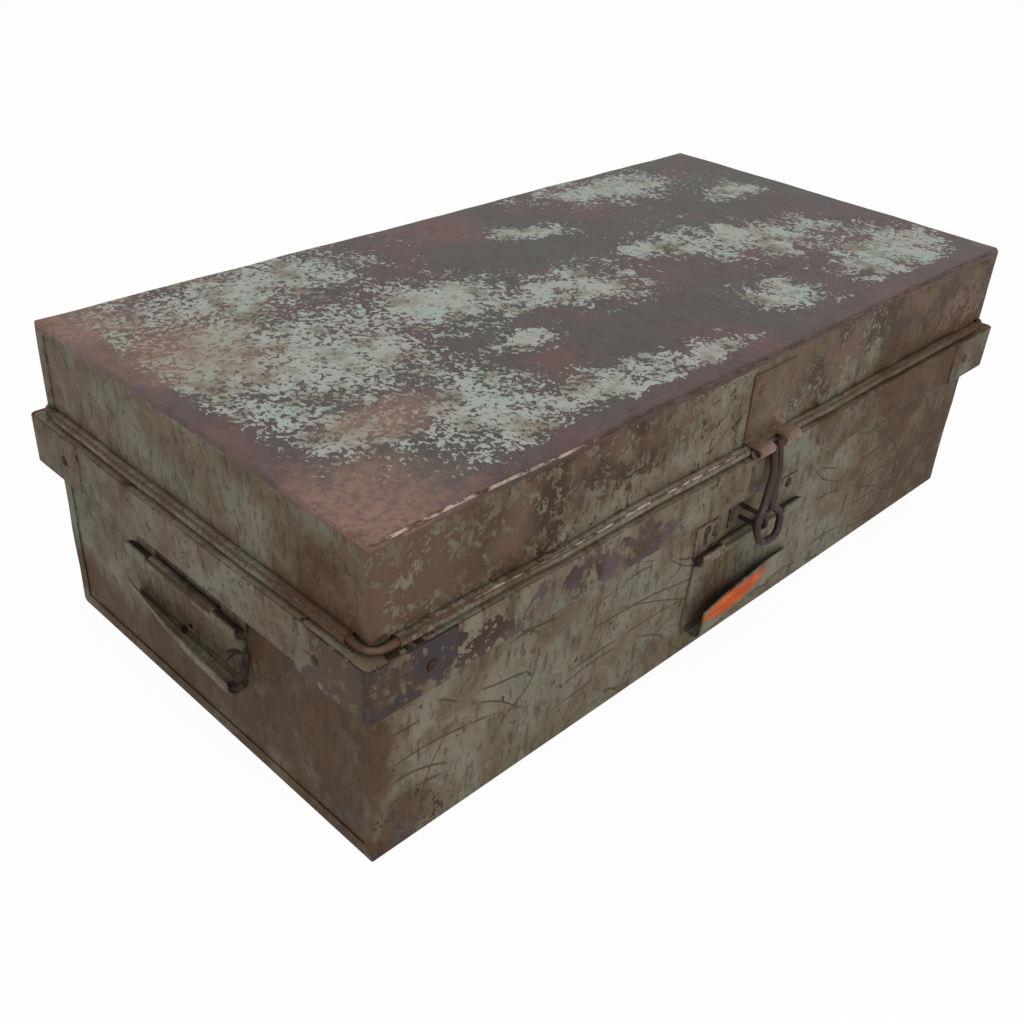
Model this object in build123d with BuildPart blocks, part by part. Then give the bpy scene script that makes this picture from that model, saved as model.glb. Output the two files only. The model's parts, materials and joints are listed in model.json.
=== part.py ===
from build123d import *
import os
from math import cos, radians, sin

# Worn sheet-steel toolbox: a folded body with a hollow collar under the lid, a deep lid with
# wired edges, a wire hasp, three drop handles and a lift-out tray. Millimetres, +X to the right,
# the front at -Y, +Z up, with the origin at the middle of the underside.

# Body, outside of the folded walls
length = 608.0
depth = 306.0
wall_top = 142.0
sheet = 1.0
bend = 3.0
lap = 8.0

# Collar round the rim, with a strap over each corner
collar_low = 110.5
collar_out = 9.4
collar_bend = 2.5
collar_round = 1.5
collar_corner = 4.0
strap_sheet = 1.0
strap_leg = 57.0
strap_rivet_in = 40.0
strap_rivet_z = 126.0

# Upstand inside the rim that centres the lid
upstand_low = 124.0
upstand_top = 154.0

# Lid: it stands this far outside the body, and its edges are rolled round a wire
lid_over = 1.2
lid_top = 205.0
lid_bend = 4.0
bead_radius = 3.6
bead_bore = 2.45
wire_radius = 2.35
wire_corner = 8.0
bead_z = 145.9
bead_stop = 14.0
corner_cut = 3.2

# Hinge straps, looped round the wire in notches of the lid's back edge
hinge_sheet = 1.2
hinge_width = 36.0
hinge_places = {"left": -200.0, "middle": 0.0, "right": 200.0}
hinge_tail_z = 116.0
hinge_rivet_z = 126.0
notch_width = 37.5
notch_height = 5.0
running_gap = 0.05

# Hasp: a strap on the lid whose end is rolled into two knuckles, and a bent-wire hasp
hasp_sheet = 1.2
hasp_strap_x = (-13.0, 31.0)
hasp_strap_top = 196.0
knuckle_gap_x = (2.3, 14.9)
hasp_rivets_x = (-3.0, 21.0)
hasp_rivet_z = 184.0
hasp_radius = 2.5
hasp_y = -165.4
hasp_z = 147.5
hasp_lean = 11.5
leg_spread = 6.4
eye_x = 0.0

# Staple that the hasp's eye drops over, clenched behind its plate
staple_radius = 1.6
staple_z = 96.0
staple_half = 4.5
staple_tip = 22.2
staple_tail = 9.0
plate_width = 24.0
plate_height = 20.0

# Drop handles: a flap with a curled grip, hung by its pin in two hooked clips
handle_sheet = 1.2
pin_radius = 2.9
pin_out = 4.6
pin_half = 57.0
flap_half_top = 54.0
flap_half_low = 58.0
flap_notch = 6.5
knuckle_half = 33.0
curl_radius = 7.5
clip_width = 22.0
clip_centre = 45.0
clip_hook = 5.0
clip_rivet_drop = 5.0
front_handle = {"centre": 10.0, "pin_z": 79.0, "drop": 49.0, "lip": 15.0, "clip_top": 101.0}
end_handle = {"centre": 9.5, "pin_z": 92.0, "drop": 30.0, "lip": 3.0, "clip_top": 109.5}

# Rivets, each with a few flats from the hammer
rivet_sides = 12
rivet_shank = 1.85
rivet_head = 3.6
rivet_dome = 1.4
rivet_slope = 45
rivet_tail = 3.0
rivet_upset = 0.8
rivet_room = 0.05

# Tray on two ledges, with a partition that has a hand slot, and cross plates
tray_length = 592.0
tray_depth = 292.0
tray_floor = 92.0
tray_height = 45.0
tray_bend = 10.0
hem = 1.6
hem_height = 3.0
partition_rise = 15.0
partition_grip = 170.0
slot_length = 100.0
slot_height = 22.0
cross_height = 40.0
cross_front_x = -95.0
cross_back_x = 120.0
ledge_width = 17.0
ledge_height = 18.0
ledge_sheet = 1.2
ledge_length = 240.0

# Worked out from these
half_length = length / 2
half_depth = depth / 2
inner_length = half_length - 2 * sheet
inner_depth = half_depth - sheet
lid_half_length = half_length + lid_over
lid_half_depth = half_depth + lid_over
lid_end = lid_half_length - sheet
bead_x = lid_end - sheet + bead_radius
bead_y = lid_half_depth - sheet + bead_radius
up = Vector(0, 0, 1)
walls = {"front": Vector(0, -1, 0), "left": Vector(-1, 0, 0), "right": Vector(1, 0, 0)}


def save(piece, label):
    """Name a finished piece and write it."""
    piece.label = label
    export_step(piece, f"parts/{label}.step")


def wall_reach(out):
    """Distance from the middle of the box to the outside of a wall."""
    return half_depth if out.Y else half_length - sheet


def wall_point(out, centre):
    """Point at base level on a wall's outer face, at a place along it."""
    along = Vector(1, 0, 0) if out.Y else Vector(0, 1, 0)
    return out * wall_reach(out) + along * centre


def section_plane(out, centre):
    """Upright plane across a wall: local x points out of the wall and local y up."""
    return Plane(origin=wall_point(out, centre), x_dir=out, z_dir=out.cross(up))


def clip_rivet_planes(out, sizes):
    """Planes on the outer faces of a handle's two clips, where their rivets sit."""
    planes = []
    for side in (-1, 1):
        foot = wall_point(out, sizes["centre"] + side * clip_centre)
        place = foot + out * handle_sheet + up * (sizes["clip_top"] - clip_rivet_drop)
        planes.append(Plane(origin=place, z_dir=out))
    return planes


def strap_rivet_planes(x_side, y_side):
    """Planes on the two legs of one corner strap, where its rivets sit."""
    reach_x = half_length + collar_out + strap_sheet
    reach_y = half_depth + collar_out + strap_sheet
    on_front = Vector(x_side * (reach_x - strap_rivet_in), y_side * reach_y, strap_rivet_z)
    on_end = Vector(x_side * reach_x, y_side * (reach_y - strap_rivet_in), strap_rivet_z)
    return [
        Plane(origin=on_front, z_dir=(0, y_side, 0)),
        Plane(origin=on_end, z_dir=(x_side, 0, 0)),
    ]


def hinge_rivet_planes():
    """Planes on the tails of the hinge straps, where their rivets sit."""
    reach = half_depth + collar_out + hinge_sheet
    places = []
    for centre in hinge_places.values():
        for side in (-1, 1):
            places.append(Vector(centre + side * hinge_width / 4, reach, hinge_rivet_z))
    return [Plane(origin=place, z_dir=(0, 1, 0)) for place in places]


def cut_lid_corners():
    """Cut the lid's corners away where the bare wire turns."""
    places = [(x * lid_half_length, y * lid_half_depth, bead_z) for x in (-1, 1) for y in (-1, 1)]
    with Locations(*places):
        Box(2 * bead_stop, 2 * bead_stop, 2 * corner_cut, mode=Mode.SUBTRACT)


def hasp_rivet_planes():
    """Planes on the hasp strap, where its rivets sit."""
    reach = -(lid_half_depth + hasp_sheet)
    return [Plane(origin=(x, reach, hasp_rivet_z), z_dir=(0, -1, 0)) for x in hasp_rivets_x]


def rivet_holes(planes):
    """Cut clearance holes for rivets through the sheets under these planes."""
    with Locations(*planes):
        Cylinder(rivet_shank + rivet_room, 20, mode=Mode.SUBTRACT)


def rivets(planes, grip):
    """Rivets with a low head on each plane, a shank through the sheets and an upset tail."""
    with BuildPart() as group:
        with BuildSketch(*planes):
            RegularPolygon(rivet_head, rivet_sides)
        extrude(amount=rivet_dome, taper=rivet_slope)
        with BuildSketch(*planes):
            RegularPolygon(rivet_shank, rivet_sides)
        extrude(amount=-grip)
        with BuildSketch(*[plane.offset(-grip) for plane in planes]):
            RegularPolygon(rivet_tail, rivet_sides)
        extrude(amount=-rivet_upset)
    return group.part


def three_sides(width, low, high, band, radius, folded):
    """Draw a band along both sides and the folded edge of a sheet, open on its free edge."""
    free = high if folded == low else low
    with Locations((0, (low + high) / 2)):
        whole = Rectangle(width, high - low)
    rows = whole.vertices().group_by(Axis.Y)
    fillet(rows[0] if folded == low else rows[-1], radius)
    offset(amount=-band, mode=Mode.SUBTRACT)
    with Locations((0, free)):
        Rectangle(width - 2 * band, 2 * band + 1, mode=Mode.SUBTRACT)


os.makedirs("parts", exist_ok=True)

# Body: front, bottom and back are one folded sheet, lapped over the two end panels
front_clip_rivets = clip_rivet_planes(walls["front"], front_handle)
with BuildPart() as body_wrapper:
    with BuildSketch(Plane.YZ):
        three_sides(depth, 0, wall_top, sheet, bend, 0)
    extrude(amount=half_length, both=True)
    for side in (-1, 1):
        with BuildSketch(Plane.YZ.offset(side * half_length)):
            three_sides(depth, 0, wall_top, lap, bend, 0)
        extrude(amount=-side * sheet)
    rivet_holes(front_clip_rivets)
    with Locations(*[(eye_x, -half_depth, staple_z + side * staple_half) for side in (-1, 1)]):
        Cylinder(staple_radius + rivet_room, 8, rotation=(90, 0, 0), mode=Mode.SUBTRACT)
save(body_wrapper.part, "body_wrapper")

for name in ("left", "right"):
    out = walls[name]
    with BuildPart() as end_panel:
        with BuildSketch(Plane(origin=out * (half_length - 2 * sheet), x_dir=(0, 1, 0), z_dir=(1, 0, 0))):
            with Locations((0, (sheet + wall_top) / 2)):
                panel = Rectangle(2 * inner_depth, wall_top - sheet)
            fillet(panel.vertices().group_by(Axis.Y)[0], bend - sheet)
        extrude(amount=out.X * sheet)
        rivet_holes(clip_rivet_planes(out, end_handle))
    save(end_panel.part, f"body_{name}_end")

# Collar: a hollow channel round the rim, in four lengths mitred under the corner straps
with BuildPart() as collar:
    with BuildSketch(Plane.XY.offset(collar_low)):
        RectangleRounded(length + 2 * collar_out, depth + 2 * collar_out, collar_corner)
    extrude(amount=wall_top - collar_low)
    chamfer(collar.faces().sort_by(Axis.Z)[0].outer_wire().edges(), collar_bend)
    fillet(collar.faces().sort_by(Axis.Z)[-1].outer_wire().edges(), collar_round)
    with BuildSketch(Plane.XY.offset(collar_low)):
        Rectangle(length, depth)
    extrude(amount=wall_top - collar_low, mode=Mode.SUBTRACT)
    with BuildSketch(Plane.XY.offset(collar_low + collar_bend)):
        RectangleRounded(
            length + 2 * (collar_out - sheet), depth + 2 * (collar_out - sheet), collar_corner - sheet
        )
    extrude(amount=wall_top - collar_low - collar_bend - sheet, mode=Mode.SUBTRACT)
    for x_side in (-1, 1):
        for y_side in (-1, 1):
            rivet_holes(strap_rivet_planes(x_side, y_side))
    rivet_holes(hinge_rivet_planes())

mitres = {
    "front": [((half_length, -half_depth), (1, 1)), ((-half_length, -half_depth), (-1, 1))],
    "back": [((half_length, half_depth), (1, -1)), ((-half_length, half_depth), (-1, -1))],
    "left": [((-half_length, -half_depth), (1, -1)), ((-half_length, half_depth), (1, 1))],
    "right": [((half_length, -half_depth), (-1, -1)), ((half_length, half_depth), (-1, 1))],
}
for name, cuts in mitres.items():
    with BuildPart() as band:
        add(collar.part)
        for corner, normal in cuts:
            split(bisect_by=Plane(origin=(*corner, 0), z_dir=(*normal, 0)), keep=Keep.BOTTOM)
    save(band.part, f"rim_band_{name}")

# Corner straps, bent round the collar
corners = {"front_left": (-1, -1), "front_right": (1, -1), "back_left": (-1, 1), "back_right": (1, 1)}
collar_faces = collar_out + strap_sheet
for name, (x_side, y_side) in corners.items():
    with BuildPart() as strap:
        with BuildSketch(Plane.XY.offset(collar_low)):
            RectangleRounded(
                length + 2 * collar_faces, depth + 2 * collar_faces, collar_corner + strap_sheet
            )
            RectangleRounded(
                length + 2 * collar_out, depth + 2 * collar_out, collar_corner, mode=Mode.SUBTRACT
            )
            with Locations((x_side * (half_length + collar_faces), y_side * (half_depth + collar_faces))):
                Rectangle(2 * strap_leg, 2 * strap_leg, mode=Mode.INTERSECT)
        extrude(amount=wall_top - collar_low)
        rivet_holes(strap_rivet_planes(x_side, y_side))
    save(strap.part, f"corner_strap_{name}")

all_strap_rivets = []
for x_side, y_side in corners.values():
    all_strap_rivets += strap_rivet_planes(x_side, y_side)
save(rivets(all_strap_rivets, strap_sheet + sheet), "corner_strap_rivets")

# Upstand inside the rim, one strip to a side
upstand_height = upstand_top - upstand_low
upstands = {
    "front": ((0, -inner_depth + sheet / 2), 2 * inner_length, sheet),
    "back": ((0, inner_depth - sheet / 2), 2 * inner_length, sheet),
    "left": ((-inner_length + sheet / 2, 0), sheet, 2 * (inner_depth - sheet)),
    "right": ((inner_length - sheet / 2, 0), sheet, 2 * (inner_depth - sheet)),
}
for name, (place, x_size, y_size) in upstands.items():
    with BuildPart() as upstand:
        with BuildSketch(Plane.XY.offset(upstand_low)):
            with Locations(place):
                Rectangle(x_size, y_size)
        extrude(amount=upstand_height)
    save(upstand.part, f"rim_upstand_{name}")

# Lid: front, top and back are one folded sheet with rolled edges, lapped over two end panels
with BuildPart() as lid_wrapper:
    with BuildSketch(Plane.YZ):
        three_sides(2 * lid_half_depth, bead_z, lid_top, sheet, lid_bend, lid_top)
    extrude(amount=lid_half_length, both=True)
    for side in (-1, 1):
        with BuildSketch(Plane.YZ.offset(side * lid_half_length)):
            three_sides(2 * lid_half_depth, bead_z, lid_top, lap, lid_bend, lid_top)
        extrude(amount=-side * sheet)
    with BuildSketch(Plane.YZ):
        with Locations((-bead_y, bead_z), (bead_y, bead_z)):
            Circle(bead_radius)
    extrude(amount=lid_half_length - bead_stop, both=True)
    with BuildSketch(Plane.YZ):
        with Locations((-bead_y, bead_z), (bead_y, bead_z)):
            Circle(bead_bore)
    extrude(amount=lid_half_length - bead_stop, both=True, mode=Mode.SUBTRACT)
    with Locations(*[(x, bead_y, bead_z) for x in hinge_places.values()]):
        Box(notch_width, 4 * bead_radius, 2 * notch_height, mode=Mode.SUBTRACT)
    cut_lid_corners()
    rivet_holes(hasp_rivet_planes())
save(lid_wrapper.part, "lid_wrapper")

for name in ("left", "right"):
    out = walls[name]
    with BuildPart() as lid_panel:
        with BuildSketch(Plane(origin=out * (lid_end - sheet), x_dir=(0, 1, 0), z_dir=(1, 0, 0))):
            with Locations((0, (bead_z + lid_top - sheet) / 2)):
                panel = Rectangle(2 * (lid_half_depth - sheet), lid_top - sheet - bead_z)
            fillet(panel.vertices().group_by(Axis.Y)[-1], lid_bend - sheet)
        extrude(amount=out.X * sheet)
        with BuildSketch(Plane.XZ):
            with Locations((out.X * bead_x, bead_z)):
                Circle(bead_radius)
        extrude(amount=lid_half_depth - bead_stop, both=True)
        with BuildSketch(Plane.XZ):
            with Locations((out.X * bead_x, bead_z)):
                Circle(bead_bore)
        extrude(amount=lid_half_depth - bead_stop, both=True, mode=Mode.SUBTRACT)
        cut_lid_corners()
    save(lid_panel.part, f"lid_{name}_end")

with BuildPart() as lid_edge_wire:
    with BuildLine(Plane.XY.offset(bead_z)) as loop:
        FilletPolyline(
            (bead_x, -bead_y), (bead_x, bead_y), (-bead_x, bead_y), (-bead_x, -bead_y),
            radius=wire_corner, close=True,
        )
    with BuildSketch(Plane(origin=loop.line @ 0, z_dir=loop.line % 0)):
        Circle(wire_radius)
    sweep()
save(lid_edge_wire.part, "lid_edge_wire")

# Hinge straps: a loop round the wire, then along the collar's top and down its back
loop_radius = wire_radius + running_gap + hinge_sheet / 2
tail_y = half_depth + collar_out + hinge_sheet / 2
tail_z = bead_z - loop_radius
for name, x in hinge_places.items():
    with BuildPart() as hinge_strap:
        with BuildSketch(Plane.YZ.offset(x)):
            with BuildLine():
                FilletPolyline((tail_y, hinge_tail_z), (tail_y, tail_z), (bead_y, tail_z), radius=1.5)
                CenterArc((bead_y, bead_z), loop_radius, -90, -290)
            trace(line_width=hinge_sheet)
        extrude(amount=hinge_width / 2, both=True)
        rivet_holes(hinge_rivet_planes())
    save(hinge_strap.part, f"hinge_strap_{name}")
save(rivets(hinge_rivet_planes(), hinge_sheet + sheet), "hinge_rivets")

# Hasp strap: flat on the lid's front, over the rolled edge, and round the hasp's top bar
knuckle_radius = hasp_radius + running_gap + hasp_sheet / 2
strap_y = -(lid_half_depth + hasp_sheet / 2)
bridge_z = hasp_z + knuckle_radius
with BuildPart() as hasp_strap:
    with BuildSketch(Plane.YZ.offset(hasp_strap_x[0])):
        with BuildLine():
            FilletPolyline((strap_y, hasp_strap_top), (strap_y, bridge_z), (hasp_y, bridge_z), radius=1.5)
            CenterArc((hasp_y, hasp_z), knuckle_radius, 90, 280)
        trace(line_width=hasp_sheet)
    extrude(amount=hasp_strap_x[1] - hasp_strap_x[0])
    gap_width = knuckle_gap_x[1] - knuckle_gap_x[0]
    with Locations((sum(knuckle_gap_x) / 2, hasp_y - 2, hasp_z)):
        Box(gap_width, 4 * hasp_radius + 4, 4 * hasp_radius, mode=Mode.SUBTRACT)
    rivet_holes(hasp_rivet_planes())
save(hasp_strap.part, "hasp_strap")
save(rivets(hasp_rivet_planes(), hasp_sheet + sheet), "hasp_strap_rivets")

# Hasp: one wire, whose ends turn in the two knuckles, with two legs, a waist and an eye
lean = radians(hasp_lean)
hasp_plane = Plane(origin=(0, hasp_y, hasp_z), x_dir=(1, 0, 0), z_dir=(0, cos(lean), -sin(lean)))
leg_left = sum(knuckle_gap_x) / 2 - leg_spread / 2
leg_right = leg_left + leg_spread
with BuildPart() as hasp:
    with BuildLine(hasp_plane) as outline:
        FilletPolyline(
            (hasp_strap_x[0] + 2, 0), (leg_left, 0), (leg_left, 19), (-6, 38.5), (-14.5, 48.5), (-9.5, 63),
            (9, 63), (14.2, 49), (0.8, 38.5), (leg_right, 19), (leg_right, 0), (hasp_strap_x[1] - 2, 0),
            radius=[3.2, 12, 12, 8, 9, 9, 8, 5, 12, 3.2],
        )
    with BuildSketch(Plane(origin=outline.line @ 0, z_dir=outline.line % 0)):
        Circle(hasp_radius)
    sweep()
save(hasp.part, "hasp")

# Staple: a wire loop through its plate and the front wall, its ends clenched inside
with BuildPart() as staple_plate:
    with BuildSketch(Plane(origin=(eye_x, -half_depth, staple_z), x_dir=(1, 0, 0), z_dir=(0, -1, 0))):
        RectangleRounded(plate_width, plate_height, 3)
        with Locations((0, staple_half), (0, -staple_half)):
            Circle(staple_radius + rivet_room, mode=Mode.SUBTRACT)
    extrude(amount=hasp_sheet)
save(staple_plate.part, "staple_plate")

clench = -(inner_depth - staple_radius - rivet_room)
bow = -(half_depth + staple_tip - staple_radius)
with BuildPart() as staple:
    with BuildLine(Plane.YZ.offset(eye_x)) as path:
        FilletPolyline(
            (clench, staple_z + staple_half + staple_tail), (clench, staple_z + staple_half),
            (bow, staple_z + staple_half), (bow, staple_z - staple_half),
            (clench, staple_z - staple_half), (clench, staple_z - staple_half - staple_tail),
            radius=[1.8, staple_half - 0.1, staple_half - 0.1, 1.8],
        )
    with BuildSketch(Plane(origin=path.line @ 0, z_dir=path.line % 0)):
        Circle(staple_radius)
    sweep()
save(staple.part, "staple")


def drop_handle(name, out, sizes):
    """Build one drop handle: a flap with a curled grip on a pin, two hooked clips and rivets."""
    section = section_plane(out, sizes["centre"])
    pin_z = sizes["pin_z"]
    grip_z = pin_z - sizes["drop"]
    roll = pin_radius + 0.02 + handle_sheet / 2
    flat = pin_out - roll
    outer = flat + 2 * curl_radius
    face = Plane(origin=section.origin, x_dir=-section.z_dir, z_dir=out)
    with BuildPart() as flap:
        with BuildSketch(section):
            with BuildLine():
                CenterArc((pin_out, pin_z), roll, 180, -290)
                Line((flat, pin_z), (flat, grip_z))
                CenterArc((flat + curl_radius, grip_z), curl_radius, 180, 180)
                Line((outer, grip_z), (outer, grip_z + sizes["lip"]))
            trace(line_width=handle_sheet)
        extrude(amount=flap_half_low, both=True)
        with BuildSketch(face):
            Polygon(
                (-flap_half_low, 0), (flap_half_low, 0), (flap_half_low, grip_z),
                (flap_half_top, pin_z - flap_notch), (knuckle_half, pin_z - flap_notch),
                (knuckle_half, 2 * pin_z), (-knuckle_half, 2 * pin_z), (-knuckle_half, pin_z - flap_notch),
                (-flap_half_top, pin_z - flap_notch), (-flap_half_low, grip_z), align=None,
            )
        extrude(amount=4 * curl_radius, mode=Mode.INTERSECT)
    save(flap.part, f"{name}_handle_flap")

    with BuildPart() as pin:
        with BuildSketch(section):
            with Locations((pin_out, pin_z)):
                Circle(pin_radius)
        extrude(amount=pin_half, both=True)
    save(pin.part, f"{name}_handle_pin")

    hook = pin_radius + running_gap + handle_sheet / 2
    back = pin_out - hook
    rivet_planes = clip_rivet_planes(out, sizes)
    for side, label in ((-1, "a"), (1, "b")):
        with BuildPart() as clip:
            with BuildSketch(section.offset(side * clip_centre)):
                with BuildLine():
                    Polyline(
                        (handle_sheet / 2, sizes["clip_top"]), (handle_sheet / 2, pin_z + 8),
                        (back, pin_z + 4), (back, pin_z),
                    )
                    CenterArc((pin_out, pin_z), hook, 180, 180)
                    Line((pin_out + hook, pin_z), (pin_out + hook, pin_z + clip_hook))
                trace(line_width=handle_sheet)
            extrude(amount=clip_width / 2, both=True)
            rivet_holes(rivet_planes)
        save(clip.part, f"{name}_handle_clip_{label}")
    save(rivets(rivet_planes, handle_sheet + sheet), f"{name}_handle_rivets")


drop_handle("front", walls["front"], front_handle)
drop_handle("left", walls["left"], end_handle)
drop_handle("right", walls["right"], end_handle)

# Ledges welded inside the ends, and the tray that rests on them
for name in ("left", "right"):
    out = walls[name]
    with BuildPart() as ledge:
        with BuildSketch(Plane.XZ):
            with BuildLine():
                FilletPolyline(
                    (out.X * (inner_length - ledge_sheet / 2), tray_floor - ledge_height),
                    (out.X * (inner_length - ledge_sheet / 2), tray_floor - ledge_sheet / 2),
                    (out.X * (inner_length - ledge_width), tray_floor - ledge_sheet / 2),
                    radius=1.5,
                )
            trace(line_width=ledge_sheet)
        extrude(amount=ledge_length / 2, both=True)
    save(ledge.part, f"tray_ledge_{name}")

tray_top = tray_floor + tray_height
with BuildPart() as tray_pan:
    with BuildSketch(Plane.XY.offset(tray_floor)):
        RectangleRounded(tray_length, tray_depth, tray_bend)
    extrude(amount=tray_height)
    with BuildSketch(Plane.XY.offset(tray_top - hem_height)):
        RectangleRounded(tray_length + 2 * hem, tray_depth + 2 * hem, tray_bend + hem)
    extrude(amount=hem_height)
    with BuildSketch(Plane.XY.offset(tray_floor + sheet)):
        RectangleRounded(tray_length - 2 * sheet, tray_depth - 2 * sheet, tray_bend - sheet)
    extrude(amount=tray_height, mode=Mode.SUBTRACT)
save(tray_pan.part, "tray_pan")

partition_top = tray_height + partition_rise
slot_z = tray_floor + partition_top - slot_height / 2 - 8
with BuildPart() as tray_partition:
    with BuildSketch(Plane.XZ):
        with Locations((0, tray_floor + sheet + (tray_height - sheet) / 2)):
            Rectangle(tray_length - 2 * sheet, tray_height - sheet)
        with Locations((0, tray_floor + partition_top - partition_rise)):
            Trapezoid(partition_grip, 2 * partition_rise, 60)
        with Locations((0, slot_z)):
            SlotOverall(slot_length, slot_height, mode=Mode.SUBTRACT)
    extrude(amount=sheet / 2, both=True)
save(tray_partition.part, "tray_partition")

cross_plates = {"front": (cross_front_x, -1), "back": (cross_back_x, 1)}
for name, (x, y_side) in cross_plates.items():
    cross_depth = tray_depth / 2 - 1.5 * sheet
    with BuildPart() as cross:
        with BuildSketch(Plane.XY.offset(tray_floor + sheet)):
            with Locations((x, y_side * (sheet / 2 + cross_depth / 2))):
                Rectangle(sheet, cross_depth)
        extrude(amount=cross_height)
    save(cross.part, f"tray_cross_{name}")
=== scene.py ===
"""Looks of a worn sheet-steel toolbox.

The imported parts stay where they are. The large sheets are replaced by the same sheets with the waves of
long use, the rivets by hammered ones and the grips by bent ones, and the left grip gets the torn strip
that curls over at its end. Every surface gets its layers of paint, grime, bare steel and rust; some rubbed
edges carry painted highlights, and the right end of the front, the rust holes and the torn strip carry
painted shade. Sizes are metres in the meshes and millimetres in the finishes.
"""

import json
import logging
from collections.abc import Mapping, Sequence
from dataclasses import dataclass
from enum import Enum
from math import cos, radians, sin
from typing import Any

import bmesh
import bpy
from mathutils import Matrix, Vector, noise

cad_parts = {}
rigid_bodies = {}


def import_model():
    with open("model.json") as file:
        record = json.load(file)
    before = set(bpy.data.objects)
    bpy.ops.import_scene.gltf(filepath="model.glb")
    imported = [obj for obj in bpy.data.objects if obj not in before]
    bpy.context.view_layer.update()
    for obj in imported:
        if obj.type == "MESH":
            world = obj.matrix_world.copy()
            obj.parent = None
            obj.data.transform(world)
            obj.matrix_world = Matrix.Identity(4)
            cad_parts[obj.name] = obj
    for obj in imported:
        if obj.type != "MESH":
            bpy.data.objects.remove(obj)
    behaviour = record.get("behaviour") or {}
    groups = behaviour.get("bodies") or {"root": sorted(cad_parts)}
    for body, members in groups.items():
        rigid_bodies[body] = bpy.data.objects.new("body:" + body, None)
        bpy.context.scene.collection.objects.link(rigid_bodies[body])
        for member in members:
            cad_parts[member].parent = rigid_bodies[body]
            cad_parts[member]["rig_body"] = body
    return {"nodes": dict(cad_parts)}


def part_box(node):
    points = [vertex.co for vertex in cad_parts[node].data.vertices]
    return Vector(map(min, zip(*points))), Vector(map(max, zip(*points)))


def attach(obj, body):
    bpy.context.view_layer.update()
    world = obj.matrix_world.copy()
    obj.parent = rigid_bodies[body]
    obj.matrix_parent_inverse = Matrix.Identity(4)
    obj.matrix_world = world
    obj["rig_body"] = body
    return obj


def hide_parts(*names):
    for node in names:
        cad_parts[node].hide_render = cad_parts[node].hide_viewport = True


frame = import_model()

log = logging.getLogger("toolbox")

MM = 0.001
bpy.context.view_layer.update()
SIDES = ("front", "back", "left", "right")
MERGE = 0.002 * MM
WAVE_SEED = 11

# Faces that the finishes are laid out on, in millimetres.
LID_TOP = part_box("lid_wrapper")[1].z / MM
LID_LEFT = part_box("lid_wrapper")[0].x / MM
LID_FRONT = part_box("hasp_strap")[1].y / MM
COLLAR_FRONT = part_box("rim_band_front")[0].y / MM
WALL_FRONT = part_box("body_wrapper")[0].y / MM
WALL_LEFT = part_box("body_wrapper")[0].x / MM
LEFT_GRIP_PLATE = WALL_LEFT - 1

# How far a zone of the lid's top or front reaches through the sheet, in millimetres.
TOP_DEPTH = 40
FRONT_DEPTH = 20

Colour = tuple[float, float, float, float]
Triple = tuple[float, float, float]


class Tint(Enum):
    """Colours of the object as display values."""

    PALE_SAGE = (163, 165, 156)
    MINT_SAGE = (157, 170, 160)
    DUSTY_SAGE = (128, 122, 106)
    SAGE = (114, 113, 97)
    FADED_SAGE = (126, 119, 103)
    GREEN_SAGE = (112, 121, 106)
    OLIVE_GRIME = (106, 94, 76)
    BROWN_GRIME = (86, 65, 47)
    DARK_CHIP = (62, 47, 34)
    BROWN_CHIP = (76, 57, 44)
    GREY_STEEL = (78, 75, 72)
    PURPLE_STEEL = (86, 71, 71)
    RED_STEEL = (98, 75, 71)
    DARK_STEEL = (60, 52, 52)
    PINK_STEEL = (138, 114, 104)
    RUSTY_SHEET = (100, 78, 62)
    # Pale worn steel, lightened into a painted highlight on rubbed edges.
    WORN_STEEL_HIGHLIGHT = (196, 178, 164)
    TAN_RUST = (142, 110, 94)
    BROWN_RUST = (92, 62, 46)
    ORANGE_PAINT = (214, 96, 24)
    DEEP_ORANGE = (158, 66, 26)
    # Near-black painted shade, for what is seen through rust holes.
    HOLE_SHADE = (26, 18, 14)

    @property
    def linear(self) -> Colour:
        """The colour as linear light, with full opacity.

        Returns:
            Red, green, blue and opacity.
        """
        shares = [value / 255 for value in self.value]
        light = [v / 12.92 if v <= 0.04045 else ((v + 0.055) / 1.055) ** 2.4 for v in shares]
        return (*light, 1.0)


class Signal:
    """A node's output; arithmetic on it adds Math nodes to its graph."""

    def __init__(self, graph: "Graph", socket: bpy.types.NodeSocket) -> None:
        """Keep the graph and the socket."""
        self.graph = graph
        self.socket = socket

    def _math(self, operation: str, first: Any, second: Any = 0.0) -> "Signal":
        """Add one Math node."""
        return self.graph.node("ShaderNodeMath", {"operation": operation}, {0: first, 1: second})

    def __add__(self, other: Any) -> "Signal":
        """Sum."""
        return self._math("ADD", self, other)

    __radd__ = __add__

    def __sub__(self, other: Any) -> "Signal":
        """Difference."""
        return self._math("SUBTRACT", self, other)

    def __rsub__(self, other: Any) -> "Signal":
        """Difference from a plain number."""
        return self._math("SUBTRACT", other, self)

    def __mul__(self, other: Any) -> "Signal":
        """Product."""
        return self._math("MULTIPLY", self, other)

    __rmul__ = __mul__

    def __abs__(self) -> "Signal":
        """Size without its sign."""
        return self._math("ABSOLUTE", self)

    def most(self, other: Any) -> "Signal":
        """The larger of two values."""
        return self._math("MAXIMUM", self, other)


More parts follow.
